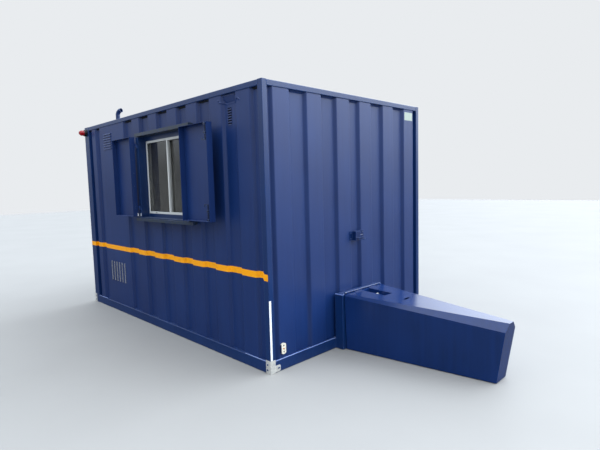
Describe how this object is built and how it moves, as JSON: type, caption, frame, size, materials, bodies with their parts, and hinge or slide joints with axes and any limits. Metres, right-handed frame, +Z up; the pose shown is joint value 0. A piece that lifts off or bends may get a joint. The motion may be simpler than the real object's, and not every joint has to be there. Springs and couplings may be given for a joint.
{
  "type": "portable site cabin",
  "caption": "Steel site cabin with ribbed walls, a window with hinged steel shutters, a roof pipe and a tapered hinged cover over its drawbar.",
  "frame": {"origin": "middle of the cabin's footprint, on the ground", "axes": "+X along the cabin to its drawbar, -Y to the window side, +Z up"},
  "size_m": [5.124, 2.495, 2.5186],
  "materials": {
    "black_steel": "black chassis paint",
    "board": "white faced lining board",
    "deck": "resin faced plywood",
    "galvanised": "dull galvanised steel",
    "glass": "clear float glass",
    "lamp_black": "moulded lamp base",
    "lamp_red": "ribbed red lens",
    "marker_white": "white marker lens",
    "painted_frame": "satin gloss paint on pressed steel sections",
    "painted_sheet": "satin gloss paint on folded steel sheet",
    "pipe_paint": "paint on steel tube, sooty mouth",
    "roof_paint": "weathered paint on ribbed roof sheet",
    "white_frame": "white window section",
    "zinc_bolt": "zinc plated, part painted"
  },
  "bodies": {
    "cabin": {"back_lining": "board", "back_wall_left": "painted_sheet", "back_wall_over_door": "painted_sheet", "back_wall_right": "painted_sheet", "bottom_end_rails": "painted_frame", "bottom_side_rails": "painted_frame", "ceiling_panel": "board", "corner_plates": "galvanised", "corner_posts_drawbar_end": "painted_frame", "corner_posts_far_end": "painted_frame", "door_frame": "painted_frame", "door_furniture": "galvanised", "door_leaf": "painted_frame", "drawbar_end_wall": "painted_sheet", "drawbar_neck": "painted_frame", "drawbar_rails": "black_steel", "end_linings": "board", "exhaust_pipe": "pipe_paint", "far_end_wall": "painted_sheet", "floor_cross_members": "black_steel", "floor_deck": "deck", "front_lining": "board", "front_wall_left": "painted_sheet", "front_wall_over_window": "painted_sheet", "front_wall_right": "painted_sheet", "front_wall_under_window": "painted_sheet", "hood_catch": "painted_frame", "hood_hinge": "painted_frame", "lamp_base": "lamp_black", "lamp_lens": "lamp_red", "roof_sheet": "roof_paint", "shutter_hinge_posts": "painted_frame", "side_marker": "marker_white", "top_end_rails": "painted_frame", "top_side_rails": "painted_frame", "towing_eye": "black_steel", "window_frame": "white_frame", "window_glass": "glass", "window_surround": "painted_frame"},
    "shutter_left_leaf": {"shutter_left": "painted_sheet"},
    "shutter_right_leaf": {"shutter_right": "painted_sheet", "shutter_right_bolts": "zinc_bolt"},
    "drawbar_cover": {"drawbar_hood": "painted_sheet", "hood_staple": "galvanised"}
  },
  "joints": [
    {"name": "shutter_left_hinge", "type": "hinge", "parent": "cabin", "child": "shutter_left_leaf", "pos_m": [-0.1435, -1.223, 1.64], "axis": [0, 0, 1], "range_deg": [0, 180]},
    {"name": "shutter_right_hinge", "type": "hinge", "parent": "cabin", "child": "shutter_right_leaf", "pos_m": [0.8095, -1.223, 1.64], "axis": [0, 0, -1], "range_deg": [0, 180]},
    {"name": "hood_hinge", "type": "hinge", "parent": "cabin", "child": "drawbar_cover", "pos_m": [1.928, -0.032, 0.53], "axis": [0, -1, 0], "range_deg": [0, 90]}
  ]
}
